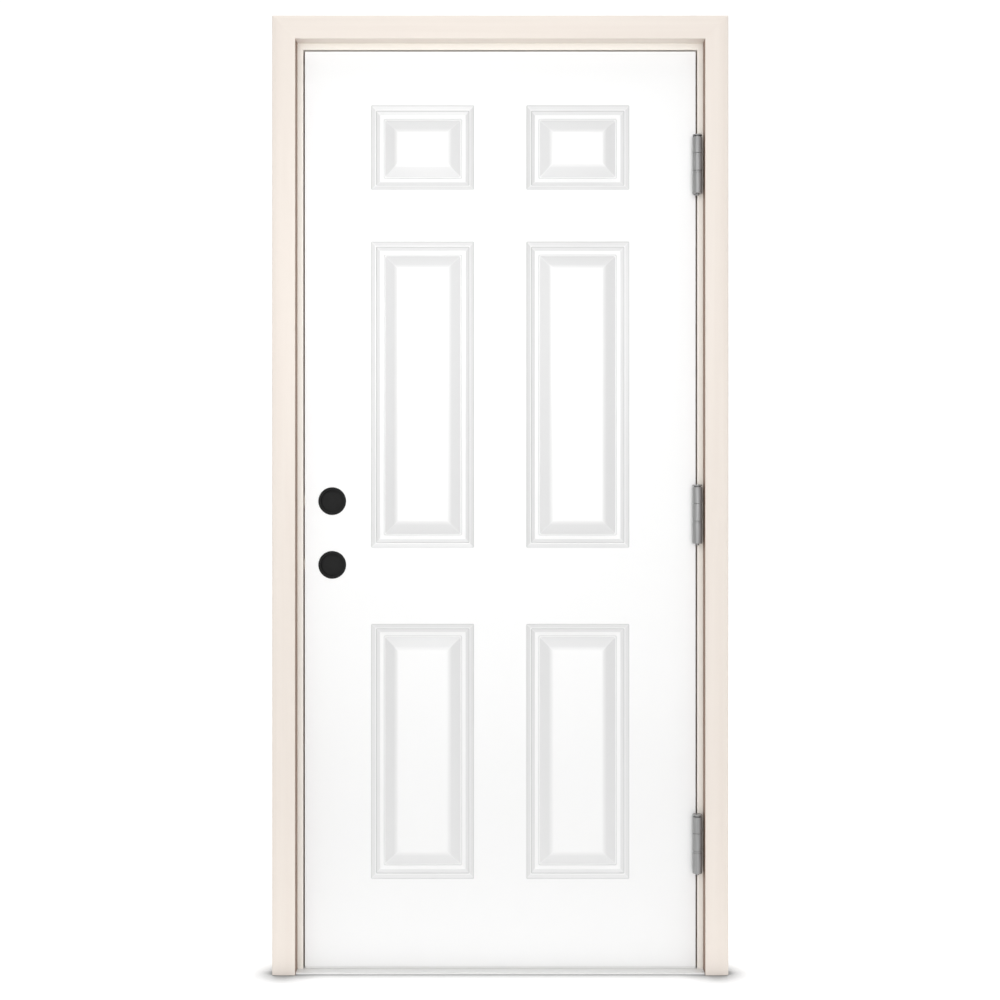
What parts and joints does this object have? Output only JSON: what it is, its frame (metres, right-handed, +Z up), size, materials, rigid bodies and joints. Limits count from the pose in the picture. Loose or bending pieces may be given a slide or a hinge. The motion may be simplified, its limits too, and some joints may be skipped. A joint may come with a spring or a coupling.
{
  "type": "prehung panelled entry door",
  "caption": "Outswing six-panel pressed-steel entry door, hung on butt hinges in a rabbeted timber frame with brickmould casing, threshold and seals.",
  "frame": {"origin": "middle of the unit's width and depth, at the underside of the jambs", "axes": "+X to the right seen from outside, +Y from the outside into the building, +Z up"},
  "size_m": [0.9906, 0.1476, 2.0829],
  "materials": {
    "primed_timber": "factory primed pine, satin cream",
    "sill_aluminium": "white powder coat, satin",
    "sill_composite": "moulded wood composite",
    "grey_vinyl": "matt flexible vinyl",
    "white_vinyl": "matt flexible vinyl",
    "seal_foam": "film-covered foam",
    "hinge_steel": "satin grey plated",
    "zinc_screw": "bright zinc",
    "primed_steel": "baked white primer, satin",
    "bare_timber": "planed softwood",
    "core_foam": "rigid polyurethane foam",
    "black_plastic": "matt moulded black"
  },
  "bodies": {
    "frame": {"strike_jamb": "primed_timber", "hinge_jamb": "primed_timber", "head_jamb": "primed_timber", "brickmould_left": "primed_timber", "brickmould_right": "primed_timber", "brickmould_head": "primed_timber", "brickmould_brads": "primed_timber", "sill_extrusion": "sill_aluminium", "sill_substrate": "sill_composite", "sill_bumper": "grey_vinyl", "weatherstrip_left": "seal_foam", "weatherstrip_right": "seal_foam", "weatherstrip_head": "seal_foam", "corner_seal_pads": "seal_foam", "jamb_leaf_top": "hinge_steel", "jamb_leaf_middle": "hinge_steel", "jamb_leaf_bottom": "hinge_steel", "hinge_pin_top": "hinge_steel", "hinge_pin_middle": "hinge_steel", "hinge_pin_bottom": "hinge_steel", "hinge_bearings": "hinge_steel", "jamb_leaf_screws": "zinc_screw", "head_joint_screws": "zinc_screw", "sill_screws": "zinc_screw"},
    "door": {"door_sweep": "white_vinyl", "door_leaf_top": "hinge_steel", "door_leaf_middle": "hinge_steel", "door_leaf_bottom": "hinge_steel", "door_leaf_screws": "zinc_screw", "exterior_skin": "primed_steel", "interior_skin": "primed_steel", "hinge_stile": "bare_timber", "lock_stile": "bare_timber", "top_rail": "bare_timber", "bottom_rail": "bare_timber", "lock_block": "bare_timber", "foam_core": "core_foam", "bore_plug_upper": "black_plastic", "bore_plug_lower": "black_plastic"}
  },
  "joints": [
    {"name": "door_swing", "type": "hinge", "parent": "frame", "child": "door", "pos_m": [0.43021, -0.05477, 0], "axis": [0, 0, 1], "range_deg": [0, 150]}
  ]
}
